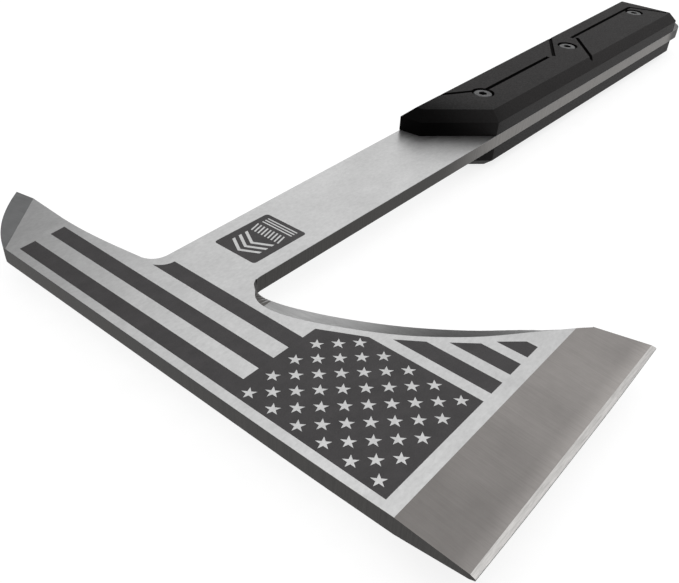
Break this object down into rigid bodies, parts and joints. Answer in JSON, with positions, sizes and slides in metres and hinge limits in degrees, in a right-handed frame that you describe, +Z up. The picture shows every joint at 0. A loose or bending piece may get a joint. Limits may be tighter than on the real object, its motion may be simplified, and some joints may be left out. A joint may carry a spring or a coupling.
{
  "type": "grill spatula",
  "caption": "Axe-shaped grill spatula: a full-tang steel plate with a long bevelled edge and a spike, held between moulded handle scales.",
  "frame": {"origin": "under the middle of the whole object, on the surface that the lower scale lies on", "axes": "+X from the head to the butt of the handle, +Y from the cutting edge to the spike, +Z up, square to the plate"},
  "size_m": [0.374, 0.186, 0.023],
  "materials": {
    "plate_steel": "satin, fine brushing, dark etched stars and stripes on the upper face",
    "scale_plastic": "moulded charcoal plastic with a fine texture",
    "fastener_steel": "dark oxide, worn bright at the edges"
  },
  "bodies": {
    "root": {"blade_plate": "plate_steel", "scale_upper": "scale_plastic", "scale_lower": "scale_plastic", "screw_front": "fastener_steel", "screw_middle": "fastener_steel", "screw_rear": "fastener_steel", "barrel_nut_front": "fastener_steel", "barrel_nut_middle": "fastener_steel", "barrel_nut_rear": "fastener_steel"}
  },
  "joints": []
}
